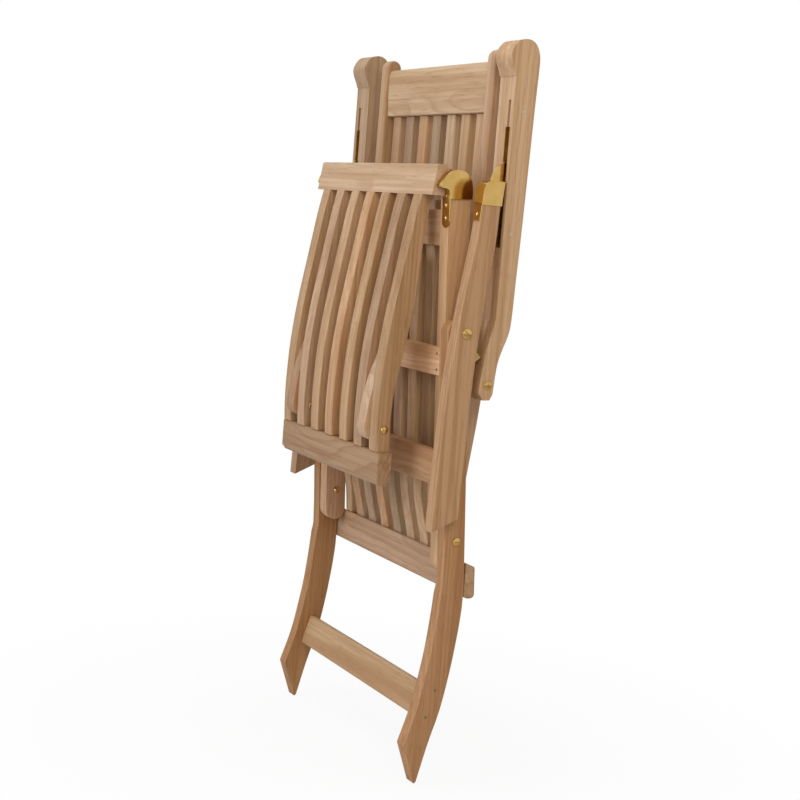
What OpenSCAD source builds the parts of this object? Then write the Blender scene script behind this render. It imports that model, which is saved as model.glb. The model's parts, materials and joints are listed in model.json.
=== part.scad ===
// Folding steamer chair, standing folded.
// Millimetres. x = 0 is the middle plane, the front looks towards -y, the rear foot tips stand on z = 0.

/* [Overall] */
// Half width over the arms
arm_outer = 300; // [296:1:304]
// Width of one arm across the chair
arm_w = 52; // [50:1:53]
// Side gap between parts that turn against each other
side_gap = 1.5; // [1:0.1:1.6]
// Radial running clearance of the pivot pins
pin_run = 0.05; // [0.03:0.01:0.08]

/* [Rear legs] */
// Thickness of a rear leg across the chair
rear_leg_t = 26; // [22:1:26]
// Inner face of the rear legs, where the seat rails lie against them
rear_leg_in = 244; // [242:1:244]
// Height of the rear stretcher
rear_stretcher_h = 58; // [45:1:64]
// Thickness of the rear stretcher
rear_stretcher_t = 16; // [12:1:20]

/* [Front legs] */
// Thickness of a front leg across the chair
front_leg_t = 25; // [20:1:26]
// Height of the front stretcher
front_stretcher_h = 59; // [45:1:70]
// Thickness of the front stretcher
front_stretcher_t = 18; // [12:1:19]
// Thickness of the brass sheet of the leg caps
leg_cap_t = 1.5; // [1:0.1:1.5]
// Thickness of the crescent hook
hook_t = 5; // [3:0.5:7]

/* [Seat] */
// Depth of a seat rail seen from the side
seat_rail_d = 42; // [38:1:42]
// Thickness of a seat rail across the chair
seat_rail_t = 28.5; // [24:0.5:28.5]
// Lean of the seat rails in the folded chair
seat_lean = 3.3; // [3:0.1:3.5]
// Width of a seat slat
seat_slat_w = 30; // [24:1:36]
// Thickness of a seat slat
seat_slat_t = 18; // [12:1:20]
// Distance from one seat or back slat to the next
slat_pitch = 52.6; // [50:0.1:54]
// Thickness of the cross rails under the seat slats
seat_cross_t = 12; // [10:1:14]
// Thickness of the brace
brace_t = 15; // [14:1:18]
// How far the brace is let into each seat rail
brace_let = 12.5; // [8:0.5:16]
// Width of the brass strap in front of each seat rail
strap_w = 24.4; // [20:0.1:24.4]

/* [Backrest] */
// Thickness of a stile across the chair
stile_t = 26; // [22:1:28]
// Width of a back slat
back_slat_w = 30; // [24:1:36]
// Thickness of a back slat
back_slat_t = 17; // [10:1:18]
// Half length of the bottom rail
bottom_rail_half = 270; // [262:1:270]

/* [Arms] */
// Width of the long slot in the arm
slot_w = 16; // [14:0.5:18]
// Depth of the long slot
slot_d = 20; // [19:0.5:21]
// Width of the narrow kerf above the slot
kerf_w = 8; // [6:0.5:10]
// Sheet thickness of the brass track
track_t = 1.5; // [1:0.1:1.6]

/* [Footrest] */
// Width of a footrest slat
foot_slat_w = 30; // [26:1:31]
// Distance from one footrest slat to the next
foot_pitch = 61; // [60:0.1:62]
// Thickness of an inner footrest slat
foot_slat_t = 20; // [17:1:24]
// Half length of the footrest's top rail
foot_rail_half = 229.5; // [226:0.5:229.5]
// Half length of the footrest's bottom rail
foot_bottom_half = 203; // [200:1:208]
// Length of a footrest leg from its bolt to its end
foot_leg_l = 312; // [280:1:315]
// Width of a footrest leg near its end, seen from the side
foot_leg_d = 23; // [18:1:24]
// Radius of a footrest leg's round head
foot_leg_head_r = 24; // [20:0.5:25]
// Side play of a footrest leg between its two slats
foot_leg_play = 0.9; // [0.6:0.1:2]

/* [Fasteners] */
// Radius of the main pivot bolts
bolt_r = 5; // [4:0.5:6]
// Radius of the footrest pins and bolts
foot_bolt_r = 4; // [3:0.5:4.5]
// Radius of the large slotted heads
big_head_r = 9.5; // [8:0.5:11]
// Radius of the arm bolt heads
arm_head_r = 7.5; // [6.5:0.5:9]
// Radius of the small screw heads
screw_r = 4.2; // [3.5:0.1:4.5]
// Radius of the nail heads
nail_r = 2.6; // [2:0.1:3]

/* [Hidden] */
$fn = 48;
p1 = [36, 434];
p2 = [7, 801];
p4 = [54, 714];
p5 = [70, 340];
hinge = [-28, 1057];
foot_bolt = [-85, 620];
arm_in = arm_outer - arm_w;
rear_leg_out = rear_leg_in + rear_leg_t;
front_leg_in = rear_leg_out + side_gap;
front_leg_out = front_leg_in + front_leg_t;
seat_rail_in = rear_leg_in - seat_rail_t;
stile_out = seat_rail_in - side_gap;
stile_in = stile_out - stile_t;
slot_x = front_leg_in + front_leg_t / 2;
slot_y = 60;
slot_z = [950, 1155];
kerf_top = 1200;
seat_half = seat_rail_d / 2;
slat_back = -seat_half + 1 + seat_cross_t;
rail_gap = 1;
knuckle_in = foot_rail_half + rail_gap;
seat_cap_t = 1.5;
seat_cap_side_t = 3.5;
pin_deep = 30;
pin_out = 14;
knuckle_end_t = 3;
knuckle_out = max(rear_leg_in + seat_cap_side_t, knuckle_in + pin_out + knuckle_end_t);
rail_swing_r = 29;
rail_swing_in = min(seat_rail_in, knuckle_in);
foot_gap_in = 2 * foot_pitch + foot_slat_w / 2;
foot_gap_out = 3 * foot_pitch - foot_slat_w / 2;
plate_t = 3;
spacer_end = 0.3;
leg_cap_side = 1.2;
leg_cap_low = 1020;
leg_strap_front = 993;
leg_strap_back = 946;
leg_strap_half = 7;
strap_x = knuckle_out - strap_w / 2;
strap_u = [557, 609];
seat_screw_u = [561, 583];
nail_from_end = 10;
seat_nail_u = strap_u[1] - nail_from_end;
seat_rail_u = [-39, 606];
seat_slat_u = [104, 592];
front_rail_u = [513, 575];
rear_rail_u = [98, 144];
brace_u = [288, 338];
leg_top = [6.25, 801];
leg_top_r = 20.25;
stile_top = [81.5, 1275];
stile_top_r = 15.5;
rear_stretcher_at = [4.5, 141.5];
rear_stretcher_lean = -17.2;
front_stretcher_at = [-24, 537];
foot_leg_lean = -9.7;
plate_r = 11;
nut_r = 6.5;
nut_h = 7;
frame_head_r = 8;
frame_head_h = 4;
big_head_h = 3.2;
arm_head_h = 2.7;
foot_head_r = 7;
foot_head_h = 3.5;
foot_nut_r = 6;
foot_nut_h = 5;
spacer_wall = 3;
screw_h = 2;
nail_h = 1;
head_gap = 0.3;
bracket_w = 16;
track_pin_at = [[75, 975], [78, 1181]];
track_pin_r = 3;

rear_leg_back = [[26.5, 801], [37.4, 650], [46.5, 525], [55.5, 401], [59, 331], [57, 293], [53, 257],
  [45, 202], [31, 132], [12, 71], [-6, 3]];
rear_leg_front = [[-36, 71], [-17, 129], [-8, 169], [2, 223], [8, 270], [14, 340], [14.8, 403], [-14, 801]];
front_leg_front = [[-31, 457], [-24, 662], [-12, 801], [-0.5, 885], [11.5, 961], [15.2, 1005],
  [17.5, 1046]];
front_leg_back = [[55.3, 1060], [52, 1018], [49, 958], [39, 870], [34, 826], [29.5, 770], [26, 706],
  [23.5, 640], [21.5, 560], [20, 480.5]];
arm_front = [[60, 830], [60, 1200], [58, 1240], [49, 1262], [47, 1278], [59, 1297], [79, 1302], [94, 1295],
  [102, 1278], [103.2, 1254], [101, 1187], [96, 985], [93, 898], [91, 829], [87, 802], [75, 769], [69, 744],
  [65.5, 699]];
arm_foot = [[60, 688.5], [47, 688], [38, 700]];
arm_low = [[38.5, 715], [43, 752], [46, 776], [56, 812]];
stile_front = [[60.5, 394.4], [56, 440], [43.5, 500], [45.5, 547], [58, 668], [64.5, 760], [66, 1000],
  [66, 1275]];
stile_back = [[97, 1275], [97, 1000], [97, 760], [97.5, 678], [82, 547], [77, 500], [79, 430],
  [79.6, 387.3]];
back_slat_front = [[80, 1182], [79, 1000], [78.5, 800], [77.5, 700], [72, 645], [60, 592], [47, 552],
  [41, 525], [42, 495], [50, 455], [61, 415], [67, 391]];
rail_top = [[60.5, 394.4], [79.6, 387.3]];
rail_slope = rail_top[1] - rail_top[0];
top_rail_side = [[73, 1182], [70, 1240], [70, 1262], [73, 1269], [78, 1271], [88, 1270], [93, 1263],
  [97, 1182]];
foot_top_side = [[-45.5, 1031], [-38, 1082], [-35.5, 1084], [-21, 1084], [-15.5, 1080], [-14.5, 1076],
  [-25, 1031]];
foot_bottom_side = [[-96, 530], [-96, 578], [-94, 581], [-70, 581], [-68, 578], [-68, 530], [-76, 521],
  [-88, 521]];
seat_cap_front = [[-20.4, 1025.4], [-21, 1036], [-22.3, 1039.8], [-25.5, 1042.3], [-29.5, 1043.3],
  [-36, 1043.6], [-37.8, 1045.5], [-37.6, 1050], [-35.6, 1056], [-31, 1063], [-25, 1069], [-18, 1073.6],
  [-10, 1076.4], [-3, 1077], [5, 1075.6], [12, 1071.6], [18, 1065.8], [22, 1058.5], [23.8, 1050.5],
  [24.4, 1040], [24.6, 1028.2]];
bracket_side = [[20, 744], [29, 752.6], [38.5, 759.4], [42, 760.2], [42, 762], [37, 764.6], [28, 775],
  [24, 784]];
hook_front = [[36, 1066], [42, 1080], [51, 1090], [65.5, 1099]];
hook_back = [[67.5, 1088], [66, 1078], [60, 1068], [57, 1058]];
foot_slat_front = [[-47.5, 1031], [-55.3, 995], [-62, 958], [-74.6, 885], [-86.8, 811], [-95.6, 736],
  [-99, 661], [-98.5, 610], [-96.5, 578]];
foot_side_back = [[-72, 578], [-74, 640], [-71, 691], [-64, 730], [-55, 778], [-47, 831], [-42, 880],
  [-38.5, 935], [-32, 1000], [-25, 1031]];
foot_leg_front = [[-foot_leg_head_r, 0], [-foot_leg_head_r - 1, 30], [-foot_leg_head_r - 1, 50],
  [-foot_leg_head_r - 0.5, 70], [-foot_leg_head_r + 2, 96], [-foot_leg_d / 2 - 5.5, 124],
  [-foot_leg_d / 2 - 2.5, 165], [-foot_leg_d / 2 - 0.5, 220], [-foot_leg_d / 2, foot_leg_l]];
foot_leg_back = [[foot_leg_d / 2 + 1.5, foot_leg_l], [foot_leg_d / 2 + 2.5, 240],
  [foot_leg_d / 2 + 5, 165], [foot_leg_d / 2 + 4.5, 110], [foot_leg_d / 2 + 5.5, 80],
  [foot_leg_d / 2 + 8.5, 40], [foot_leg_head_r, 0]];

// Which part to show

// A smooth line through points, n pieces between each two.
function between(a, b, c, d, t) = 0.5 * (2 * b + (c - a) * t + (2 * a - 5 * b + 4 * c - d) * t * t
  + (3 * b - a - 3 * c + d) * t * t * t);
function smooth(p, n = 3) = [for (i = [0 : len(p) - 2]) for (k = [0 : (i == len(p) - 2 ? n : n - 1)])
  between(p[max(i - 1, 0)], p[i], p[i + 1], p[min(i + 2, len(p) - 1)], k / n)];
function reversed(p) = [for (i = [len(p) - 1 : -1 : 0]) p[i]];
function arc(c, r, a0, a1, n = 12) = [for (k = [0 : n]) c + r * [cos(a0 + (a1 - a0) * k / n),
  sin(a0 + (a1 - a0) * k / n)]];
function inner(p) = [for (i = [1 : len(p) - 2]) p[i]];
// How far back a leg's edge line is at height z.
function leg_at(p, z) = lookup(z, [for (q = smooth(p)) [q[1], q[0]]]);
function pushed(p, d) = [for (q = p) q + [d, 0]];

// A side profile (y, z) made into a board from x0 to x1.
module board(x0, x1) {
  translate([x0, 0, 0]) rotate([90, 0, 90]) linear_extrude(x1 - x0) children();
}

module both() {
  children();
  mirror([1, 0, 0]) children();
}

module left() {
  mirror([1, 0, 0]) children();
}

// A round bar across the chair at p = [y, z].
module bar(x0, x1, p, r) {
  translate([x0, p[0], p[1]]) rotate([0, 90, 0]) cylinder(h = x1 - x0, r = r);
}

// A domed head standing on z = 0.
module dome(r, h) {
  rotate_extrude()
    polygon([[0, 0], [r, 0], [r, 0.15 * h], [0.9 * r, 0.55 * h], [0.62 * r, 0.87 * h], [0, h]]);
}

module side_dome(x, p, r, h) {
  translate([x, p[0], p[1]]) rotate([0, 90, 0]) dome(r, h);
}

// Seat frame coordinates: u runs up the rail from the lower bolt, v from front to back.
module seat_plane() {
  translate(p1) rotate(seat_lean) children();
}

module seat_block(x0, x1, v0, v1, u0, u1) {
  board(x0, x1) seat_plane() translate([v0, u0]) square([v1 - v0, u1 - u0]);
}

module teak() {
  color([0.72, 0.56, 0.42]) children();
}

module brass() {
  color([0.78, 0.62, 0.32]) children();
}

// Rear legs and seat frame

module rear_leg_side() {
  polygon(concat(smooth(rear_leg_back), [[-10, 0]], smooth(rear_leg_front),
    inner(arc(leg_top, leg_top_r, 180, 0))));
}

module rear_leg() {
  difference() {
    board(rear_leg_in, rear_leg_out) rear_leg_side();
    bar(rear_leg_in - 1, rear_leg_out + 1, p1, bolt_r);
    bar(rear_leg_in - 1, rear_leg_out + 1, p2, bolt_r);
  }
}

module rear_leg_right() {
  teak() rear_leg();
}

module rear_leg_left() {
  teak() left() rear_leg();
}

module rear_stretcher() {
  teak() board(-rear_leg_in, rear_leg_in) translate(rear_stretcher_at) rotate(rear_stretcher_lean)
    translate([0, -rear_stretcher_h / 2]) square([rear_stretcher_t, rear_stretcher_h]);
}

module seat_rail_side() {
  seat_plane() {
    translate([-seat_half, seat_rail_u[0]]) square([seat_rail_d, seat_rail_u[1] - seat_rail_u[0]]);
    translate([0, seat_rail_u[0]]) circle(r = seat_half);
  }
}

module seat_rail() {
  difference() {
    board(seat_rail_in, rear_leg_in) seat_rail_side();
    bar(seat_rail_in - 1, rear_leg_in + 1, p1, bolt_r);
    bar(seat_rail_in - 1, rear_leg_in + 1, p2, bolt_r);
    seat_block(seat_rail_in - 1, seat_rail_in + brace_let, -seat_half - 3, slat_back, brace_u[0],
      brace_u[1]);
    bar(rail_swing_in - 1, knuckle_in, hinge, rail_swing_r);
  }
}

module seat_rail_right() {
  teak() seat_rail();
}

module seat_rail_left() {
  teak() left() seat_rail();
}

module seat_front_rail() {
  teak() seat_block(-seat_rail_in, seat_rail_in, slat_back - seat_cross_t, slat_back, front_rail_u[0],
    front_rail_u[1]);
}

module seat_rear_rail() {
  teak() seat_block(-seat_rail_in, seat_rail_in, slat_back - seat_cross_t, slat_back, rear_rail_u[0],
    rear_rail_u[1]);
}

module seat_brace() {
  teak() seat_block(-seat_rail_in - brace_let, seat_rail_in + brace_let, slat_back - brace_t, slat_back,
    brace_u[0], brace_u[1]);
}

module seat_slats() {
  teak() for (i = [-3 : 3]) seat_block(i * slat_pitch - seat_slat_w / 2, i * slat_pitch + seat_slat_w / 2,
    slat_back, slat_back + seat_slat_t, seat_slat_u[0], seat_slat_u[1]);
}

module seat_cap_side() {
  polygon(seat_cap_front);
}

// A round pad or head lying along v, at x and u of the seat frame.
module seat_round(x, u, v0, v1, r) {
  translate([x, p1[0], p1[1]]) rotate([seat_lean, 0, 0]) translate([0, v0, u]) rotate([-90, 0, 0])
    cylinder(h = v1 - v0, r = r);
}

module seat_head(x, u, v, r, h) {
  translate([x, p1[0], p1[1]]) rotate([seat_lean, 0, 0]) translate([0, v, u]) rotate([90, 0, 0]) dome(r, h);
}

module seat_cap() {
  difference() {
    union() {
      board(seat_rail_in - seat_cap_t, knuckle_out) seat_cap_side();
      seat_block(strap_x - strap_w / 2, strap_x + strap_w / 2, -seat_half - seat_cap_t, -seat_half + 1,
        strap_u[0], strap_u[1]);
      seat_round(strap_x, strap_u[0], -seat_half - seat_cap_t, -seat_half + 1, strap_w / 2);
    }
    board(seat_rail_in, rear_leg_in) seat_rail_side();
    bar(rail_swing_in - 5, knuckle_in, hinge, rail_swing_r);
    board(rail_swing_in - 5, strap_x - strap_w / 2) translate([-60, 1000]) square([50, 100]);
    bar(knuckle_in - 1, knuckle_in + pin_out, hinge, foot_bolt_r);
  }
}

module seat_cap_right() {
  brass() seat_cap();
}

module seat_cap_left() {
  brass() left() seat_cap();
}

module seat_cap_screws() {
  brass() both() {
    for (u = seat_screw_u) seat_head(strap_x, u, -seat_half - seat_cap_t, screw_r, screw_h);
    seat_head(strap_x, seat_nail_u, -seat_half - seat_cap_t, nail_r, nail_h);
  }
}

module frame_nails() {
  brass() both() {
    for (u = [299, 327]) seat_head(seat_rail_in + 6, u, slat_back - brace_t, nail_r, nail_h);
    side_dome(rear_leg_out, [18, 168], nail_r, nail_h);
    side_dome(rear_leg_out, [3, 120], nail_r, nail_h);
  }
}

module frame_bolts() {
  brass() both() {
    bar(seat_rail_in - nut_h / 2, rear_leg_out, p1, bolt_r);
    side_dome(rear_leg_out, p1, frame_head_r, frame_head_h);
  }
}

module frame_bolt_nuts() {
  brass() both() difference() {
    translate([seat_rail_in, p1[0], p1[1]]) rotate([0, -90, 0]) dome(nut_r, nut_h);
    bar(seat_rail_in - nut_h / 2, seat_rail_in + 1, p1, bolt_r);
  }
}

module leg_pivot_bolts() {
  brass() both() difference() {
    union() {
      bar(seat_rail_in, front_leg_out + spacer_end, p2, bolt_r);
      side_dome(front_leg_out + spacer_end, p2, big_head_r, big_head_h);
    }
    translate([front_leg_out + spacer_end + big_head_h - 1.2, p2[0], p2[1]]) rotate([-45, 0, 0])
      translate([0, -big_head_r, -1]) cube([3, 2 * big_head_r, 2]);
  }
}

module footrest_pins() {
  brass() both() bar(knuckle_in - pin_deep, knuckle_in + pin_out, hinge, foot_bolt_r);
}

// Front legs

module front_leg_side() {
  polygon(concat(smooth(front_leg_front), [[22, 1056], [30, 1061.3]], smooth(front_leg_back)));
}

module front_leg() {
  difference() {
    board(front_leg_in, front_leg_out) front_leg_side();
    bar(front_leg_in - 1, front_leg_out + 1, p2, bolt_r + pin_run);
  }
}

module front_leg_right() {
  teak() front_leg();
}

module front_leg_left() {
  teak() left() front_leg();
}

module front_stretcher() {
  teak() board(-front_leg_in, front_leg_in) translate(front_stretcher_at)
    square([front_stretcher_t, front_stretcher_h]);
}

module leg_cap_band(d) {
  difference() {
    offset(delta = d) front_leg_side();
    front_leg_side();
  }
}

module leg_cap() {
  difference() {
    board(front_leg_in - leg_cap_side, front_leg_out + leg_cap_side) intersection() {
      offset(delta = leg_cap_t) front_leg_side();
      translate([0, leg_cap_low]) square([70, 60]);
    }
    board(front_leg_in, front_leg_out) front_leg_side();
  }
  board(front_leg_in + 0.5, front_leg_out - 0.5) intersection() {
    leg_cap_band(leg_cap_t);
    translate([0, leg_strap_front]) square([30, leg_cap_low + 3 - leg_strap_front]);
  }
  board(slot_x - leg_strap_half, slot_x + leg_strap_half) intersection() {
    leg_cap_band(leg_cap_t);
    translate([36, leg_strap_back]) square([30, leg_cap_low + 4 - leg_strap_back]);
  }
}

module leg_cap_right() {
  brass() leg_cap();
}

module leg_cap_left() {
  brass() left() leg_cap();
}

module leg_hook() {
  board(slot_x - hook_t / 2, slot_x + hook_t / 2) difference() {
    polygon(concat([[57, 1058], [35, 1058]], smooth(hook_front), smooth(hook_back)));
    offset(delta = leg_cap_t) front_leg_side();
  }
}

module leg_hook_right() {
  brass() leg_hook();
}

module leg_hook_left() {
  brass() left() leg_hook();
}

module leg_cap_screws() {
  brass() both() {
    translate([slot_x, leg_at(front_leg_front, 1004) - leg_cap_t - head_gap, 1004]) rotate([85.2, 0, 0])
      dome(screw_r, screw_h);
    for (q = [[990, -3], [958, -5]])
      translate([slot_x, leg_at(front_leg_back, q[0]) + leg_cap_t + head_gap, q[0]])
        rotate([-90 + q[1], 0, 0]) dome(screw_r - 0.6, 1.6);
  }
}

module stop_brackets() {
  brass() both() board(slot_x - bracket_w / 2, slot_x + bracket_w / 2) difference() {
    polygon(bracket_side);
    front_leg_side();
  }
}

// Backrest

module stile() {
  board(stile_in, stile_out)
    polygon(concat(smooth(stile_front), inner(arc(stile_top, stile_top_r, 180, 0)), smooth(stile_back)));
}

module back_stile_right() {
  teak() stile();
}

module back_stile_left() {
  teak() left() stile();
}

module back_top_rail() {
  teak() board(-stile_in, stile_in)
    polygon(top_rail_side);
}

module back_bottom_rail() {
  teak() board(-bottom_rail_half, bottom_rail_half)
    polygon(concat(rail_top, arc([74.6, 338.5], 8, 0, -90, 6), arc(p5, 9.5, 270, 180, 6)));
}

module back_slat(i) {
  teak() board(i * slat_pitch - back_slat_w / 2, i * slat_pitch + back_slat_w / 2) difference() {
    polygon(concat(smooth(back_slat_front), reversed(pushed(smooth(back_slat_front), back_slat_t))));
    polygon([rail_top[0] - 2 * rail_slope, rail_top[1] + 2 * rail_slope, [120, 370], [20, 370]]);
  }
}

module back_slat_1() {
  back_slat(-3);
}

module back_slat_2() {
  back_slat(-2);
}

module back_slat_3() {
  back_slat(-1);
}

module back_slat_4() {
  back_slat(0);
}

module back_slat_5() {
  back_slat(1);
}

module back_slat_6() {
  back_slat(2);
}

module back_slat_7() {
  back_slat(3);
}

module arm_pivot_plates() {
  brass() both() difference() {
    board(stile_out, stile_out + plate_t) {
      translate(p4) circle(r = plate_r);
      polygon([p4 + [-2, 10.8], [70, 745], [90, 745], [90, 690], [70, 690], p4 + [-2, -10.8]]);
    }
    bar(stile_out - 1, stile_out + plate_t + 1, p4, bolt_r);
  }
}

module arm_pivot_bolts() {
  brass() both() {
    bar(stile_out, arm_outer + spacer_end, p4, bolt_r);
    side_dome(arm_outer + spacer_end, p4, arm_head_r, arm_head_h);
  }
}

module arm_spacers() {
  brass() both() difference() {
    bar(stile_out + plate_t, arm_in - spacer_end, p4, bolt_r + spacer_wall);
    bar(stile_out, arm_in, p4, bolt_r);
  }
}

// Arms

module arm() {
  difference() {
    board(arm_in, arm_outer) polygon(concat(smooth(arm_front), arm_foot, smooth(arm_low)));
    translate([slot_x - slot_w / 2, slot_y - 1, slot_z[0]])
      cube([slot_w, slot_d + 1, slot_z[1] - slot_z[0]]);
    translate([slot_x - kerf_w / 2, slot_y - 5, slot_z[1] - 1])
      cube([kerf_w, 20, kerf_top - slot_z[1] + 1]);
    bar(arm_in - 1, arm_outer + 1, p4, bolt_r + pin_run);
    for (q = track_pin_at) bar(slot_x, arm_outer + 1, q, track_pin_r);
  }
}

module arm_right() {
  teak() arm();
}

module arm_left() {
  teak() left() arm();
}

module arm_track() {
  difference() {
    translate([slot_x - slot_w / 2, slot_y + 0.4, slot_z[0]])
      cube([slot_w, slot_d - 0.4, slot_z[1] - slot_z[0]]);
    translate([slot_x - slot_w / 2 + track_t, slot_y - 1, slot_z[0] - 1])
      cube([slot_w - 2 * track_t, slot_d + 1 - track_t, slot_z[1] - slot_z[0] + 2]);
    for (q = track_pin_at) bar(slot_x, arm_outer + 1, q, track_pin_r);
  }
}

module arm_track_right() {
  brass() arm_track();
}

module arm_track_left() {
  brass() left() arm_track();
}

module track_pins() {
  for (q = track_pin_at) bar(slot_x + slot_w / 2 - track_t, arm_outer + 0.4, q, track_pin_r);
}

module track_pins_right() {
  brass() track_pins();
}

module track_pins_left() {
  brass() left() track_pins();
}

// Footrest

module footrest_top_rail() {
  teak() difference() {
    board(-foot_rail_half, foot_rail_half) polygon(foot_top_side);
    both() bar(knuckle_in - pin_deep - 1, foot_rail_half + 1, hinge, foot_bolt_r + pin_run);
  }
}

module footrest_bottom_rail() {
  teak() board(-foot_bottom_half, foot_bottom_half) polygon(foot_bottom_side);
}

module foot_slat_side(t) {
  polygon(concat(smooth(foot_slat_front), reversed(pushed(smooth(foot_slat_front), t))));
}

module foot_side_side() {
  polygon(concat(smooth(foot_slat_front), smooth(foot_side_back)));
}

module footrest_slat(i) {
  teak() difference() {
    board(i * foot_pitch - foot_slat_w / 2, i * foot_pitch + foot_slat_w / 2) difference() {
      if (abs(i) == 3) foot_side_side();
      else foot_slat_side(foot_slat_t);
      translate([-120, 500]) square([80, 81]);
    }
    both() if (abs(i) > 1) bar(foot_gap_in - foot_slat_w - 1, foot_gap_out + foot_slat_w + 1, foot_bolt,
      foot_bolt_r);
  }
}

module footrest_slat_1() {
  footrest_slat(-3);
}

module footrest_slat_2() {
  footrest_slat(-2);
}

module footrest_slat_3() {
  footrest_slat(-1);
}

module footrest_slat_4() {
  footrest_slat(0);
}

module footrest_slat_5() {
  footrest_slat(1);
}

module footrest_slat_6() {
  footrest_slat(2);
}

module footrest_slat_7() {
  footrest_slat(3);
}

module footrest_bolts() {
  brass() both() {
    bar(foot_gap_in - foot_slat_w, foot_gap_out + foot_slat_w, foot_bolt, foot_bolt_r);
    side_dome(foot_gap_out + foot_slat_w, foot_bolt, foot_head_r, foot_head_h);
    translate([foot_gap_in - foot_slat_w, foot_bolt[0], foot_bolt[1]]) rotate([0, -90, 0])
      dome(foot_nut_r, foot_nut_h);
  }
}

module footrest_leg() {
  difference() {
    board(foot_gap_in + foot_leg_play, foot_gap_out - foot_leg_play) translate(foot_bolt)
      rotate(foot_leg_lean)
        polygon(concat(smooth(foot_leg_front), smooth(foot_leg_back),
          inner(arc([0, 0], foot_leg_head_r, 0, -180, 16))));
    bar(foot_gap_in, foot_gap_out, foot_bolt, foot_bolt_r + pin_run);
  }
}

module footrest_leg_right() {
  teak() footrest_leg();
}

module footrest_leg_left() {
  teak() left() footrest_leg();
}

rear_leg_left();
rear_leg_right();
rear_stretcher();
seat_rail_left();
seat_rail_right();
seat_front_rail();
seat_rear_rail();
seat_brace();
seat_slats();
seat_cap_left();
seat_cap_right();
seat_cap_screws();
frame_nails();
frame_bolts();
frame_bolt_nuts();
leg_pivot_bolts();
footrest_pins();
front_leg_left();
front_leg_right();
front_stretcher();
leg_cap_left();
leg_cap_right();
leg_hook_left();
leg_hook_right();
leg_cap_screws();
stop_brackets();
back_stile_left();
back_stile_right();
back_top_rail();
back_bottom_rail();
back_slat_1();
back_slat_2();
back_slat_3();
back_slat_4();
back_slat_5();
back_slat_6();
back_slat_7();
arm_pivot_plates();
arm_pivot_bolts();
arm_spacers();
arm_left();
arm_right();
arm_track_left();
arm_track_right();
track_pins_left();
track_pins_right();
footrest_top_rail();
footrest_bottom_rail();
footrest_slat_1();
footrest_slat_2();
footrest_slat_3();
footrest_slat_4();
footrest_slat_5();
footrest_slat_6();
footrest_slat_7();
footrest_bolts();
footrest_leg_left();
footrest_leg_right();
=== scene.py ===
# %% [markdown]
# # A folding steamer chair in teak and brass
# The chair stands folded on the tips of its rear feet. The packed model gives every board, bolt and cap
# its place in metres. Here each board gets eased edges and a wood finish, and each brass part its shape
# in detail and a polish. All lengths below are metres too, and all angles are degrees where they are
# written down.

import json
import random
from math import asin, cos, pi, radians, sin

import bmesh
import bpy
from mathutils import Matrix, Vector


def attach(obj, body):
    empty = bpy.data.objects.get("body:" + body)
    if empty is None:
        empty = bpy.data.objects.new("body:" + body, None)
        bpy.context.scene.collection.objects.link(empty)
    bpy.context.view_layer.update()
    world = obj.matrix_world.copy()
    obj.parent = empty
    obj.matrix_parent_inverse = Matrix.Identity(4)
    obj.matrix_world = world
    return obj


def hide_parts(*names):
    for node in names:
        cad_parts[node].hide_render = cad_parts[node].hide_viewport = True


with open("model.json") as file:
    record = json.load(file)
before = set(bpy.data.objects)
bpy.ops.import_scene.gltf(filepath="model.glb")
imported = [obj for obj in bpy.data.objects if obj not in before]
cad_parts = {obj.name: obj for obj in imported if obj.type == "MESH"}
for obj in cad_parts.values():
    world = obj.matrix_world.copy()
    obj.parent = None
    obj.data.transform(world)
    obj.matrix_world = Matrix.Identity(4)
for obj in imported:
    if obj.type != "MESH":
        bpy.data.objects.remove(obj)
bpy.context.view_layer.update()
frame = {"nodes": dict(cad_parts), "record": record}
nodes = frame["nodes"]
record = frame["record"]
body_of = {}
for body, members in record["behaviour"]["bodies"].items():
    for member in members:
        body_of[member] = body
slot_of = {row["node"]: row["material_slot"] for row in record["subparts"]}

# %% [markdown]
# ## The camera
# The picture was taken from the chair's right front, a little above its middle, with a long lens. The
# camera's place and direction were solved from the chair's own straight edges.

# %% Camera
camera_data = bpy.data.cameras.new("camera")
camera = bpy.data.objects.new("camera", camera_data)
bpy.context.scene.collection.objects.link(camera)
camera_data.sensor_width = 36
camera_data.lens = 70.7
camera_place = Vector((2.5854, -1.3591, 0.9867))
looking = Vector((-0.87241, 0.47517, -0.11451)).normalized()
up_hint = Vector((0, -0.0889, 0.9960))
side = looking.cross(up_hint).normalized()
up = side.cross(looking)
turn = Matrix((side, up, -looking)).transposed()
camera.matrix_world = Matrix.Translation(camera_place) @ turn.to_4x4()
bpy.context.scene.camera = camera
print("camera", round(camera_place.length, 3), "m from the frame's origin, looking along", looking)

# %% [markdown]
# ## Shader helpers
# A finish is a small net of shader nodes. These helpers add a node, join two sockets and set a socket, so
# that each finish below reads as a short list of what it is made of.

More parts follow.
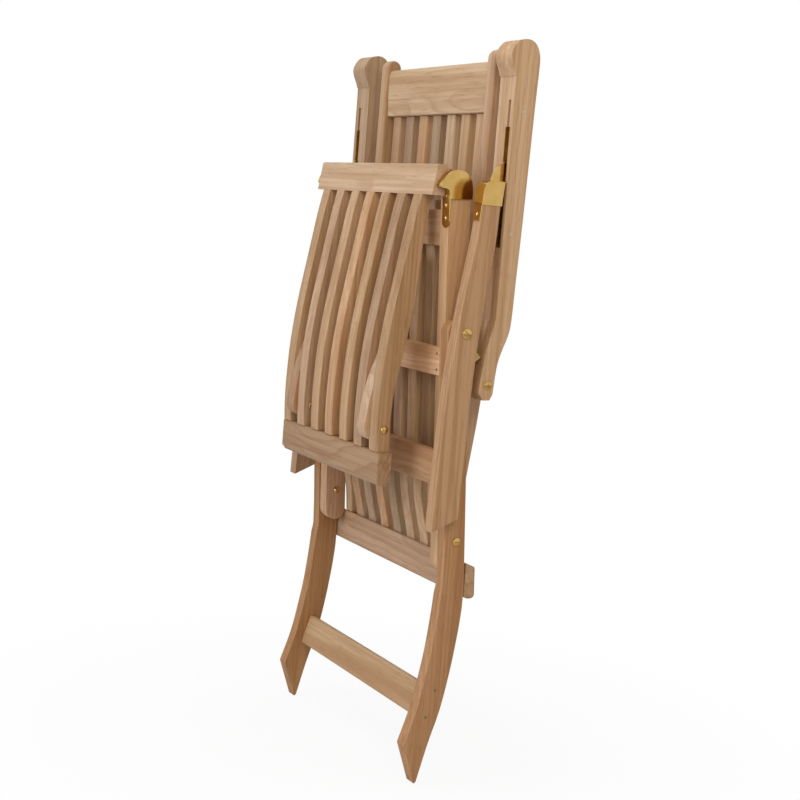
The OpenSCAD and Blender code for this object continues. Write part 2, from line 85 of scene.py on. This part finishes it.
# %% Shader helpers
class Finish:
    """A material whose nodes are added one by one."""

    def __init__(self, name):
        self.material = bpy.data.materials.new(name)
        self.material.use_nodes = True
        self.tree = self.material.node_tree
        self.shader = self.tree.nodes["Principled BSDF"]
        self.where = self.add("ShaderNodeTexCoord").outputs["Object"]

    def add(self, kind, **settings):
        """Add a node."""
        made = self.tree.nodes.new(kind)
        for key, value in settings.items():
            setattr(made, key, value)
        return made

    def put(self, socket, value):
        """Link a socket to another one, or set it to a plain value."""
        if isinstance(value, bpy.types.NodeSocket):
            self.tree.links.new(value, socket)
        else:
            socket.default_value = value

    def attribute(self, name):
        """What is written on the mesh under a name."""
        return self.add("ShaderNodeAttribute", attribute_name=name)

    def vector(self, operation, a, b, out="Vector"):
        """Work out something from two vectors."""
        made = self.add("ShaderNodeVectorMath", operation=operation)
        self.put(made.inputs[0], a)
        self.put(made.inputs[1], b)
        return made.outputs[out]

    def number(self, operation, a, b=0.0):
        """Work out something from one or two numbers."""
        made = self.add("ShaderNodeMath", operation=operation)
        self.put(made.inputs[0], a)
        self.put(made.inputs[1], b)
        return made.outputs[0]

    def noise(self, where, scale, detail, roughness, distortion=0.0, out="Fac"):
        """Soft random spots, so many to the metre."""
        made = self.add("ShaderNodeTexNoise")
        self.put(made.inputs["Vector"], where)
        self.put(made.inputs["Scale"], scale)
        self.put(made.inputs["Detail"], detail)
        self.put(made.inputs["Roughness"], roughness)
        self.put(made.inputs["Distortion"], distortion)
        return made.outputs[out]

    def ramp(self, value, *stops):
        """A colour for each value, from two or more stops of a place and a colour."""
        made = self.add("ShaderNodeValToRGB")
        row = made.color_ramp.elements
        row[0].position, row[0].color = stops[0][0], (*stops[0][1], 1)
        row[1].position, row[1].color = stops[-1][0], (*stops[-1][1], 1)
        for place, colour in stops[1:-1]:
            row.new(place).color = (*colour, 1)
        self.put(made.inputs["Fac"], value)
        return made.outputs["Color"]

    def spread(self, value, low, high, to_low=0.0, to_high=1.0):
        """Stretch the values from low to high over another range, and hold them at its ends."""
        made = self.add("ShaderNodeMapRange")
        self.put(made.inputs["Value"], value)
        for name, number in (("From Min", low), ("From Max", high), ("To Min", to_low), ("To Max", to_high)):
            self.put(made.inputs[name], number)
        return made.outputs["Result"]

    def blend(self, amount, a, b, how="MIX"):
        """Mix two colours."""
        made = self.add("ShaderNodeMix", data_type="RGBA", blend_type=how)
        self.put(made.inputs["Factor"], amount)
        self.put(made.inputs[6], a)
        self.put(made.inputs[7], b)
        return made.outputs[2]

    def bump(self, height, strength, distance):
        """Give the surface a fine relief."""
        made = self.add("ShaderNodeBump")
        self.put(made.inputs["Strength"], strength)
        self.put(made.inputs["Distance"], distance)
        self.put(made.inputs["Height"], height)
        self.put(self.shader.inputs["Normal"], made.outputs["Normal"])


print("helpers", [name for name in vars(Finish) if not name.startswith("_")])

# %% [markdown]
# ## Teak
# A board is sawn out of a trunk, so its pattern is a slice through rings that lie around the trunk's
# core. A picture of wood wrapped round the board would break off at each edge, so the finish works as the
# saw does: the distance from a core line beside the board makes the rings. Long faces then show streaks
# and pointed arches, and a sawn end shows arcs. Noise that is stretched along the grain adds broad bands,
# streaks, fibres and short dark pores, and a few cells of a Voronoi pattern hold a knot that pushes the
# rings aside. Each board has its own core line and tint as attributes, so that no two look cut from one
# block. For some boards the tint also holds painted light and shade, as the list of boards below tells.

# %% Teak finish
PALE = (0.66, 0.46, 0.29)
MIDDLE = (0.56, 0.365, 0.21)
WARM = (0.41, 0.225, 0.105)
DARK = (0.19, 0.09, 0.035)
RING = 0.0085
SWAY = 0.05
KNOT_PUSH = 0.010
ACROSS = 0
UPWARDS = 2


def teak(name, along, waves):
    """Teak whose grain runs along an axis and sways so many times a metre."""
    wood = Finish(name)
    shifted = wood.vector("ADD", wood.where, wood.attribute("board_core").outputs["Vector"])

    def stretched(across, lengthwise):
        scale = [across] * 3
        scale[along] = lengthwise
        return wood.vector("MULTIPLY", shifted, scale)

    knots = wood.add("ShaderNodeTexVoronoi")
    wood.put(knots.inputs["Vector"], stretched(7.5, 2.6))
    wood.put(knots.inputs["Scale"], 1.0)
    rare = wood.spread(wood.vector("MULTIPLY", knots.outputs["Color"], (1, 0, 0), "Vector"), 0.62, 0.64)
    near = wood.spread(knots.outputs["Distance"], 0.03, 0.15, 1.0, 0.0)
    knot = wood.number("MULTIPLY", near, rare)
    sway = wood.noise(stretched(9, waves), 1.0, 2.0, 0.5, out="Color")
    sway = wood.vector("MULTIPLY", wood.vector("SUBTRACT", sway, (0.5, 0.5, 0.5)), (SWAY, SWAY, SWAY))
    flat = [1, 1, 1]
    flat[along] = 0
    swayed = wood.vector("MULTIPLY", wood.vector("ADD", shifted, sway), flat)
    radius = wood.vector("LENGTH", swayed, (0, 0, 0), "Value")
    radius = wood.number("ADD", radius, wood.number("MULTIPLY", knot, KNOT_PUSH))
    rings = wood.number("FRACT", wood.number("DIVIDE", radius, RING))
    late = wood.spread(rings, 0.45, 0.95)
    edge = wood.spread(rings, 0.95, 1.0, 1.0, 0.0)
    late = wood.number("MULTIPLY", late, edge)
    drift = wood.noise(stretched(16, 1.2), 1.0, 3.0, 0.55, 0.5)
    band = wood.noise(stretched(70, 1.0), 1.0, 2.0, 0.5, 0.3)
    streak = wood.noise(stretched(190, 2.4), 1.0, 4.0, 0.6, 0.2)
    fibre = wood.noise(stretched(900, 14), 1.0, 2.0, 0.6)
    pores = wood.noise(stretched(620, 26), 1.0, 1.0, 0.4)
    pore = wood.spread(pores, 0.63, 0.70)
    base = wood.ramp(drift, (0.30, WARM), (0.44, MIDDLE), (0.62, PALE))
    vein = wood.spread(drift, 0.35, 0.65, 0.20, 0.62)
    base = wood.blend(wood.number("MULTIPLY", late, vein), base, (*WARM, 1))
    base = wood.blend(wood.spread(band, 0.50, 0.62, 0.0, 0.45), base, (*WARM, 1))
    base = wood.blend(wood.spread(band, 0.48, 0.36, 0.0, 0.30), base, (*PALE, 1))
    base = wood.blend(wood.spread(streak, 0.48, 0.70, 0.0, 0.45), base, (*WARM, 1))
    base = wood.blend(wood.spread(fibre, 0.35, 0.70, 0.0, 0.16), base, (*PALE, 1))
    base = wood.blend(wood.number("MULTIPLY", pore, 0.30), base, (*DARK, 1))
    core = wood.spread(knots.outputs["Distance"], 0.02, 0.055, 0.75, 0.0)
    halo = wood.spread(knots.outputs["Distance"], 0.04, 0.13, 0.42, 0.0)
    base = wood.blend(wood.number("MULTIPLY", halo, rare), base, (*WARM, 1))
    base = wood.blend(wood.number("MULTIPLY", core, rare), base, (*DARK, 1))
    # The board's tint is partly its own tone and partly painted light and shade.
    base = wood.blend(1.0, base, wood.attribute("board_tint_and_painted_light").outputs["Color"], "MULTIPLY")
    wood.put(wood.shader.inputs["Base Color"], base)
    wood.put(wood.shader.inputs["Roughness"], wood.spread(streak, 0.3, 0.7, 0.50, 0.66))
    wood.put(wood.shader.inputs["Specular IOR Level"], 0.35)
    height = wood.number("SUBTRACT", wood.number("MULTIPLY", fibre, 0.6), pore)
    height = wood.number("SUBTRACT", height, wood.number("MULTIPLY", late, 0.4))
    wood.bump(height, 0.35, 0.0004)
    return wood.material


teak_upright = teak("teak_grain_upright", UPWARDS, 1.3)
teak_crosswise = teak("teak_grain_crosswise", ACROSS, 3.2)
print("teak nodes", len(teak_upright.node_tree.nodes))

# %% [markdown]
# ## Brass
# The caps, hooks and bolts are cast and polished brass. A yellow paint with gloss would look like
# plastic, because a metal has no colour of its own but tints what it mirrors. So the finish is a full
# metal with a warm yellow reflection, a little cloudy where hands have touched it, with fine scratches
# from the polishing. The tracks in the arms are duller, the pins are a grey metal, and the nails a dark
# brown metal whose colour is partly painted shade, standing for the shade in the holes they sit in.

# %% Brass finish
def polished_brass(name, roughness):
    """Brass with cloudy patches and fine scratches."""
    metal = Finish(name)
    cloud = metal.noise(metal.where, 38.0, 3.0, 0.6)
    scratch = metal.noise(metal.vector("MULTIPLY", metal.where, (1400, 260, 260)), 1.0, 2.0, 0.5)
    colour = metal.ramp(cloud, (0.30, (0.52, 0.32, 0.095)), (0.70, (0.64, 0.42, 0.145)))
    metal.put(metal.shader.inputs["Base Color"], colour)
    metal.put(metal.shader.inputs["Metallic"], 1.0)
    metal.put(metal.shader.inputs["Roughness"], metal.spread(cloud, 0.3, 0.7, roughness, roughness + 0.07))
    metal.bump(scratch, 0.04, 0.0002)
    return metal.material


brass = polished_brass("polished_brass", 0.13)
brass_track = polished_brass("dull_brass", 0.38)


def grey_metal(name, low, high, metallic, roughness):
    """A dull metal whose colour drifts between two tones."""
    metal = Finish(name)
    cloud = metal.noise(metal.where, 420.0, 2.0, 0.5)
    metal.put(metal.shader.inputs["Base Color"], metal.ramp(cloud, (0.3, low), (0.7, high)))
    metal.put(metal.shader.inputs["Metallic"], metallic)
    metal.put(metal.shader.inputs["Roughness"], metal.spread(cloud, 0.3, 0.7, roughness, roughness + 0.15))
    return metal.material


steel = grey_metal("dull_steel", (0.40, 0.39, 0.37), (0.58, 0.57, 0.54), 0.7, 0.4)
# The nails' dark brown is partly their metal and partly painted shade, standing for the shade in their
# holes.
nail_and_painted_shade = grey_metal("nail_and_painted_shade", (0.20, 0.13, 0.08), (0.32, 0.22, 0.14), 0.2, 0.6)
print("metals", brass.name, brass_track.name, steel.name, nail_and_painted_shade.name)

# %% [markdown]
# ## Boards with eased edges
# A joiner rounds every edge of such a chair. A bump in the finish could hint at that, but a rounded edge
# catches a thin line of light from every side, so it gets real faces. The packed board is copied, its
# loose triangles are merged and its flat faces joined, and then the bevel operator rounds each edge that
# turns sharply. Weighted normals keep the broad faces flat right up to the rounding. The copy stands for
# the packed board and rides on the same body.

# %% Copies with rounded edges
SAME_POINT = 1e-6
SAME_PLANE = radians(0.3)
SHARP_TURN = radians(28)
CREASE = radians(32)


def packed(node):
    """A merged copy of a packed node."""
    shape = bmesh.new()
    shape.from_mesh(nodes[node].data)
    bmesh.ops.remove_doubles(shape, verts=shape.verts, dist=SAME_POINT)
    bmesh.ops.dissolve_limit(shape, angle_limit=SAME_PLANE, verts=shape.verts, edges=shape.edges)
    shape.normal_update()
    return shape


def round_edges(shape, radius, segments, chosen):
    """Round those edges that turn sharply and that the function chosen says yes to."""
    turning = [e for e in shape.edges if len(e.link_faces) == 2 and e.calc_face_angle(0) > SHARP_TURN]
    edges = [e for e in turning if chosen(e)]
    bmesh.ops.bevel(shape, geom=edges, offset=radius, offset_type="OFFSET", affect="EDGES",
                    segments=segments, profile=0.5, material=-1, clamp_overlap=True)


def every_edge(edge):
    return True


def finished(name, shape, node, material):
    """Make a shape into a piece that stands for a node, and give it its finish and body."""
    mesh = bpy.data.meshes.new(name)
    shape.to_mesh(mesh)
    shape.free()
    piece = bpy.data.objects.new(name, mesh)
    bpy.context.scene.collection.objects.link(piece)
    mesh.materials.append(material)
    mesh.shade_smooth()
    mesh.set_sharp_from_angle(angle=CREASE)
    flat_faces = piece.modifiers.new("flat_faces", "WEIGHTED_NORMAL")
    flat_faces.keep_sharp = True
    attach(piece, body_of[node])
    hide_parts(node)


example = packed("arm_right")
print("arm_right:", len(nodes["arm_right"].data.polygons), "triangles make", len(example.faces), "faces")
example.free()

# %% [markdown]
# ## A tree for each board
# Each board gets a core line of its own, a shift along the grain and a tint. They are written on its
# corners as attributes, which the teak finish reads, so that one finish serves every board. A node that
# holds several boards gives each of them its own wood. Some boards of the chair are clearly paler or
# redder than others. The list gives those a lightness and a warmth, and the rest get theirs by chance.
# The list's values are partly the boards' own tone and partly painted light: the brace is painted paler
# against the shade it lies in, and the rear legs and other low boards are painted darker and redder, as
# shade low under the chair.

# %% Wood for each board
random.seed(11)
CORE_AWAY = (0.035, 0.11)
FAR_ALONG = 9
RED_TINT = Vector((1, 0.84, 0.66))
# Lightness and warmth per board, partly own tone and partly painted light: the brace's high lightness is
# painted light, the rear legs' low lightness and high warmth are painted shade.
BOARD_TONE_AND_PAINTED_LIGHT = {
    "arm_right": (1.0, 0.25),
    "arm_left": (0.78, 0.1),
    "front_leg_right": (0.82, 0.75),
    "rear_leg_right": (0.76, 1.3),
    "rear_leg_left": (0.70, 1.45),
    "seat_rail_left": (0.95, 0.5),
    "seat_rail_right": (1.06, 0.45),
    "seat_brace": (1.4, 0.35),
    "front_stretcher": (0.76, 0.9),
    "rear_stretcher": (0.95, 0.3),
    "back_top_rail": (0.96, 0.1),
    "back_bottom_rail": (0.80, 0.35),
    "back_stile_left": (0.86, 0.4),
    "back_slat_5": (0.90, 0.2),
    "back_slat_6": (0.96, 0.4),
    "back_slat_7": (1.0, 0.4),
    "footrest_top_rail": (0.96, 0.0),
    "footrest_bottom_rail": (0.60, 0.75),
    "footrest_slat_7": (0.72, 0.8),
}


def islands(shape):
    """The separate solids of a mesh, each as a list of its corners."""
    left = set(shape.verts)
    found = []
    for first in shape.verts:
        if first not in left:
            continue
        left.remove(first)
        group = [first]
        for vert in group:
            for edge in vert.link_edges:
                other = edge.other_vert(vert)
                if other in left:
                    left.remove(other)
                    group.append(other)
        found.append(group)
    return sorted(found, key=lambda group: min((v.co.x, v.co.z) for v in group))


def choose_wood(shape, along, name):
    """Give each board of a shape its core line and its tint."""
    core = shape.verts.layers.float_vector.new("board_core")
    tint = shape.verts.layers.float_vector.new("board_tint_and_painted_light")
    for group in islands(shape):
        middle = sum((v.co for v in group), Vector()) / len(group)
        angle = random.uniform(0, 2 * pi)
        away = random.uniform(*CORE_AWAY)
        line = Vector((0, 0, 0))
        line[(along + 1) % 3] = away * cos(angle)
        line[(along + 2) % 3] = away * sin(angle)
        line -= middle
        line[along] = random.uniform(-FAR_ALONG, FAR_ALONG)
        # A listed board's lightness and warmth hold painted light and shade as well as its own tone.
        light, warm = BOARD_TONE_AND_PAINTED_LIGHT.get(name, (random.uniform(0.68, 0.98), random.uniform(0.0, 0.8)))
        colour = light * Vector((1, 1, 1)).lerp(RED_TINT, warm)
        colour.y *= random.uniform(0.96, 1.03)
        for vert in group:
            vert[core] = line
            vert[tint] = colour


print("boards with a tint of their own", len(BOARD_TONE_AND_PAINTED_LIGHT))

# %% [markdown]
# ## The boards
# Slats are thin and get small roundings, and the arms, where hands rest, the largest. Rails, stretchers
# and the brace lie across the chair and all other boards stand, so two teak finishes are enough. The
# lower ends of the back's slats run a little way into the rail under them, as a tenon does. Else light
# would show between their rounded ends and the rail.

# %% Boards
SLAT_EDGE = 0.0022
STILE_EDGE = 0.004
ARM_EDGE = 0.0055
PLAIN_EDGE = 0.0028
LOWER_END = 0.008
TENON = 0.006


def sink_lower_end(shape):
    """Let a slat's lower end into the rail that it stands on."""
    lowest = min(vert.co.z for vert in shape.verts)
    for vert in shape.verts:
        if vert.co.z < lowest + LOWER_END:
            vert.co.z -= TENON


def eased_board(node):
    """Round a board's edges by what suits it, and cut it from a tree of its own."""
    if "slat" in node:
        radius = SLAT_EDGE
    elif node.startswith("arm"):
        radius = ARM_EDGE
    elif node.startswith(("back_stile", "footrest_leg")):
        radius = STILE_EDGE
    else:
        radius = PLAIN_EDGE
    lying = node.endswith(("stretcher", "_rail", "brace"))
    shape = packed(node)
    if node.startswith("back_slat"):
        sink_lower_end(shape)
    round_edges(shape, radius, segments=3, chosen=every_edge)
    choose_wood(shape, ACROSS if lying else UPWARDS, node)
    finished("eased_" + node, shape, node, teak_crosswise if lying else teak_upright)


boards = [name for name, slot in slot_of.items() if slot == "teak"]
for name in boards:
    eased_board(name)
print("boards", len(boards))

# %% [markdown]
# ## Brass castings
# A seat cap is one casting with a flat side, a rounded nose and a thin strap down the front of its rail.
# The outer edge round the nose is turned over softly, and all other edges are only broken. So that edge
# gets a wide bevel first, and the sharp edges that are left a narrow one. The hooks and the leg caps get
# one bevel, and the tracks in the arms are bent strip and keep their edges.

# %% Castings
AT_FACE = 1e-5
NOSE_FOOT = 1.0485
STILL_SHARP = radians(60)
NOSE_EDGE = 0.0009
BROKEN_EDGE = 0.0004
CAST_EDGE = 0.0005
HOOK_EDGE = 0.0012


def cast_seat_cap(node):
    """A seat cap with a soft outer edge round its nose."""
    shape = packed(node)
    outside = max(abs(v.co.x) for v in shape.verts)

    def nose(edge):
        return all(abs(v.co.x) > outside - AT_FACE and v.co.z > NOSE_FOOT for v in edge.verts)

    def still_sharp(edge):
        return edge.calc_face_angle(0) > STILL_SHARP

    round_edges(shape, NOSE_EDGE, segments=3, chosen=nose)
    round_edges(shape, BROKEN_EDGE, segments=2, chosen=still_sharp)
    finished("cast_" + node, shape, node, brass)


def cast(node, radius):
    """A casting with the same small rounding on all its edges."""
    shape = packed(node)
    round_edges(shape, radius, segments=3, chosen=every_edge)
    finished("cast_" + node, shape, node, brass)


for name in ("seat_cap_left", "seat_cap_right"):
    cast_seat_cap(name)
for name in ("leg_cap_left", "leg_cap_right", "stop_brackets", "arm_pivot_plates"):
    cast(name, CAST_EDGE)
for name in ("leg_hook_left", "leg_hook_right"):
    cast(name, HOOK_EDGE)
for name in ("arm_track_left", "arm_track_right"):
    finished("bent_" + name, packed(name), name, brass_track)

# %% [markdown]
# ## Profiles of turned brass
# Bolts, nails and screws come off a lathe, so each is a profile spun round an axis. They could all share
# one stock screw, but they differ in length and head, and each has to fill its own hole. So the foot, the
# tip and the radii are measured on the packed node, and a profile is drawn through them.

# %% Profiles
AT_FOOT = 2e-5
HEAD_SHARE = 0.98
RIM_SHARE = 0.14
DOME_STEPS = 12


def measured(group, out):
    """Foot, shaft radius, head radius, start of the head and length of a turned part."""
    heights = [v.co.dot(out) for v in group]
    lowest = min(heights)
    rim = [v.co for v, height in zip(group, heights) if height < lowest + AT_FOOT]
    foot = sum(rim, Vector()) / len(rim)
    apart = [(v.co - foot) - out * (v.co - foot).dot(out) for v in group]
    widest = max(step.length for step in apart)
    start = min(height for height, step in zip(heights, apart) if step.length > widest * HEAD_SHARE)
    shaft = max((co - foot).length for co in rim)
    return foot, shaft, widest, start - lowest, max(heights) - lowest


def top_of_rim(start, tip):
    """A domed head has a short upright rim, and this is how high it ends."""
    return start + RIM_SHARE * (tip - start)


def dome(radius, start, tip):
    """The outline of a low dome, from the foot of its rim to its top."""
    rim = top_of_rim(start, tip)
    steps = [k / DOME_STEPS * pi / 2 for k in range(DOME_STEPS + 1)]
    return [(radius, start), *[(radius * cos(a), rim + (tip - rim) * sin(a)) for a in steps[:-1]], (0, tip)]


def sunk(radius, start, tip):
    """The head of a nail that was driven under: a rim round a small pit."""
    return [(radius, start), (radius, start + 0.5 * (tip - start)), (0.8 * radius, tip), (0.6 * radius, tip),
            (0.5 * radius, start + 0.3 * (tip - start)), (0, start + 0.2 * (tip - start))]


print("points in a dome's profile", len(dome(1.0, 0.0, 0.5)), "and in a nail's", len(sunk(1.0, 0.0, 0.5)))

# %% [markdown]
# ## Spinning a profile, and cutting a slot
# The spin operator turns the profile once round the z axis and closes it. A slot could be cut with a
# boolean, but a small tool that only just touches a round head leaves thin faces. Here the head is sliced
# along both walls of the slot, and the strip between them is pushed down to the slot's floor.

# %% Spinning and slotting
AROUND = 40
ON_PLANE = 1e-7


def spun(outline):
    """Spin an outline of (radius, height) points about the z axis."""
    shape = bmesh.new()
    corners = [shape.verts.new((radius, 0, height)) for radius, height in outline]
    edges = [shape.edges.new(pair) for pair in zip(corners, corners[1:])]
    bmesh.ops.spin(shape, geom=corners + edges, cent=(0, 0, 0), axis=(0, 0, 1), dvec=(0, 0, 0),
                   angle=2 * pi, steps=AROUND, use_merge=True, use_duplicate=False)
    bmesh.ops.remove_doubles(shape, verts=shape.verts, dist=SAME_POINT)
    bmesh.ops.recalc_face_normals(shape, faces=shape.faces)
    return shape


def cut_slot(shape, half, depth, radius, start, tip):
    """Push a strip across the top of a dome down by the slot's depth."""
    rim = top_of_rim(start, tip)
    floor = tip - depth
    reach = radius * cos(asin((floor - rim) / (tip - rim)))
    for direction, distance in (((1, 0, 0), half), ((0, 1, 0), reach)):
        for sign in (-1, 1):
            every = shape.verts[:] + shape.edges[:] + shape.faces[:]
            place = Vector(direction) * sign * distance
            bmesh.ops.bisect_plane(shape, geom=every, dist=ON_PLANE, plane_co=place, plane_no=direction)
    strip = []
    for face in shape.faces:
        middle = face.calc_center_median()
        if abs(middle.x) < half and abs(middle.y) < reach and middle.z > floor:
            strip.append(face)
    made = bmesh.ops.extrude_face_region(shape, geom=strip)["geom"]
    for item in made:
        if isinstance(item, bmesh.types.BMVert):
            item.co.z = floor
    bmesh.ops.delete(shape, geom=[face for face in strip if face.is_valid], context="FACES")
    bmesh.ops.recalc_face_normals(shape, faces=shape.faces)


example = spun(dome(0.010, 0.0, 0.004))
print("faces of a spun head", len(example.faces))
example.free()

# %% [markdown]
# ## Bolts, nails and screws
# Each node of small brass is turned anew, part by part, once it is known which way its heads point: out
# of the chair's side, out of the front of a seat cap's strap, or out of the two straps of a leg cap. The
# two big pivots and the bolts in the arms' plates have a slot, given by half its width, its depth and its
# turn in degrees. The nuts, pins, spacers and the footrest's bolts are plain enough as they are packed,
# and only get their metal.

# %% Bolts, nails and screws
SEAT_LEAN = radians(3.3)
FRONT_STRAP = radians(85.2)
REAR_STRAP_TOP = radians(-93)
REAR_STRAP_FOOT = radians(-95)
BEHIND_LEG = 0.03
REAR_STRAP_BEND = 0.97
UPPER_NAILS = 0.5
LEAST_SHAFT = 1e-4
PIVOT_SLOT = (0.0009, 0.0020, 45)
PLATE_SLOT = (0.0006, 0.0006, 0)


def turned_node(node, out_of, head=dome, slot=None, finish=brass):
    """Turn every loose part of a packed node anew."""
    source = packed(node)
    whole = bmesh.new()
    for group in islands(source):
        middle = sum((v.co for v in group), Vector()) / len(group)
        out = Vector(out_of(middle)).normalized()
        foot, shaft, widest, start, tip = measured(group, out)
        outline = [(0, 0)]
        if start > LEAST_SHAFT:
            outline += [(shaft, 0), (shaft, start)]
        shape = spun(outline + head(widest, start, tip))
        if slot:
            half, depth, lean = slot
            cut_slot(shape, half, depth, widest, start, tip)
            turn = Matrix.Rotation(radians(lean) * (1 if out.x > 0 else -1), 4, "Z")
            bmesh.ops.transform(shape, matrix=turn, verts=shape.verts)
        upright = out.to_track_quat("Z", "Y").to_matrix().to_4x4()
        bmesh.ops.transform(shape, matrix=Matrix.Translation(foot) @ upright, verts=shape.verts)
        carrier = bpy.data.meshes.new("carrier")
        shape.to_mesh(carrier)
        shape.free()
        whole.from_mesh(carrier)
        bpy.data.meshes.remove(carrier)
    source.free()
    finished("turned_" + node, whole, node, finish)


def sideways(middle):
    return (1 if middle.x > 0 else -1, 0, 0)


def seat_face(middle):
    return (0, -cos(SEAT_LEAN), -sin(SEAT_LEAN))


def leg_face(middle):
    if middle.y < BEHIND_LEG:
        lean = FRONT_STRAP
    elif middle.z > REAR_STRAP_BEND:
        lean = REAR_STRAP_TOP
    else:
        lean = REAR_STRAP_FOOT
    return (0, -sin(lean), cos(lean))


def nail_face(middle):
    return seat_face(middle) if middle.z > UPPER_NAILS else sideways(middle)


def plain_metal(names, metal):
    """Give its metal to a packed node that stays as it is."""
    for name in names:
        nodes[name].data.materials.clear()
        nodes[name].data.materials.append(metal)


turned_node("frame_bolts", sideways)
turned_node("leg_pivot_bolts", sideways, slot=PIVOT_SLOT)
turned_node("arm_pivot_bolts", sideways, slot=PLATE_SLOT)
turned_node("seat_cap_screws", seat_face)
turned_node("leg_cap_screws", leg_face)
# The nails' dark brown finish is partly painted shade for the holes they sit in.
turned_node("frame_nails", nail_face, head=sunk, finish=nail_and_painted_shade)
plain_metal(("frame_bolt_nuts", "footrest_bolts", "footrest_pins", "arm_spacers"), brass)
plain_metal(("track_pins_left", "track_pins_right"), steel)

# %% [markdown]
# ## Studio
# The picture has a plain white ground and no hard shadows, as a small lamp or a sun would draw. One large
# soft lamp stands in front of the chair, a little to its left, so that the narrow front edges are pale
# and the broad right sides a shade darker. A weaker, warm lamp fills in from the right and is left out of
# reflections, so that the brass keeps its dark bands. The floor shines white to the camera, more so
# farther away, and keeps a faint shadow under the feet.

# %% Floor and lamps
FLOOR_HALF = 14
PALE_FLOOR = (0.86, 0.86, 0.86, 1)
FADE = (0.2, 1.0)
WHITE_AT_FEET = 0.90


def stage_floor():
    """A wide pale floor that is plain white to the camera away from the chair."""
    shape = bmesh.new()
    bmesh.ops.create_grid(shape, x_segments=1, y_segments=1, size=FLOOR_HALF)
    mesh = bpy.data.meshes.new("floor")
    shape.to_mesh(mesh)
    shape.free()
    floor = bpy.data.objects.new("floor", mesh)
    bpy.context.scene.collection.objects.link(floor)
    paint = Finish("pale_floor")
    tree = paint.tree
    paint.put(paint.shader.inputs["Base Color"], PALE_FLOOR)
    paint.put(paint.shader.inputs["Roughness"], 0.9)
    glow = paint.add("ShaderNodeEmission")
    paint.put(glow.inputs["Color"], (1, 1, 1, 1))
    paint.put(glow.inputs["Strength"], 1.0)
    seen = paint.add("ShaderNodeLightPath").outputs["Is Camera Ray"]
    away = paint.vector("LENGTH", paint.where, (0, 0, 0), "Value")
    white = paint.spread(away, *FADE, WHITE_AT_FEET, 1.0)
    mix = paint.add("ShaderNodeMixShader")
    paint.put(mix.inputs["Fac"], paint.number("MULTIPLY", seen, white))
    tree.links.new(paint.shader.outputs["BSDF"], mix.inputs[1])
    tree.links.new(glow.outputs["Emission"], mix.inputs[2])
    tree.links.new(mix.outputs["Shader"], tree.nodes["Material Output"].inputs["Surface"])
    mesh.materials.append(paint.material)


def soft_lamp(name, place, aim, size, watts, colour=(1, 1, 1), mirrored=True):
    """A round lamp at a place, turned to a point; mirrored says whether metal shows it."""
    data = bpy.data.lights.new(name, "AREA")
    data.shape = "DISK"
    data.size = size
    data.energy = watts
    data.color = colour
    lamp = bpy.data.objects.new(name, data)
    bpy.context.scene.collection.objects.link(lamp)
    lamp.location = place
    lamp.rotation_mode = "QUATERNION"
    lamp.rotation_quaternion = (Vector(aim) - Vector(place)).to_track_quat("-Z", "Y")
    lamp.visible_glossy = mirrored
    print("lamp", name, watts, "watts,", size, "m wide")


stage_floor()
soft_lamp("key", (-0.3, -3.0, 1.5), (0, 0, 0.7), 2.2, 35, (0.92, 1.0, 1.17))
soft_lamp("fill", (2.3, -0.9, 2.1), (0, 0, 0.8), 1.3, 24, (1.0, 0.88, 0.72), mirrored=False)
soft_lamp("top", (-0.4, -0.6, 3.2), (0, 0, 0.7), 1.4, 14)

# %% [markdown]
# ## The white around the chair
# The world has two strengths. To the camera, in reflections and through clear things it is plain white,
# and as a light it is less than half as strong, so that the boards keep their shaded sides. A Light Path
# node tells the two apart.

# %% World
LIGHT_FROM_AROUND = 0.44
WHITE = 1.0

world = bpy.data.worlds.new("studio")
bpy.context.scene.world = world
world.use_nodes = True
sky = world.node_tree
ground = sky.nodes["Background"]
ground.inputs["Color"].default_value = (1, 1, 1, 1)
rays = sky.nodes.new("ShaderNodeLightPath")
plainly = sky.nodes.new("ShaderNodeMath")
plainly.operation = "ADD"
sky.links.new(rays.outputs["Is Camera Ray"], plainly.inputs[0])
sky.links.new(rays.outputs["Is Glossy Ray"], plainly.inputs[1])
through = sky.nodes.new("ShaderNodeMath")
through.operation = "ADD"
through.use_clamp = True
sky.links.new(plainly.outputs[0], through.inputs[0])
sky.links.new(rays.outputs["Is Transmission Ray"], through.inputs[1])
bright = sky.nodes.new("ShaderNodeMapRange")
bright.inputs["To Min"].default_value = LIGHT_FROM_AROUND
bright.inputs["To Max"].default_value = WHITE
sky.links.new(through.outputs[0], bright.inputs["Value"])
sky.links.new(bright.outputs["Result"], ground.inputs["Strength"])
bpy.context.scene.view_settings.view_transform = "Standard"
print("world", LIGHT_FROM_AROUND, "as light and", WHITE, "as background")

# %% [markdown]
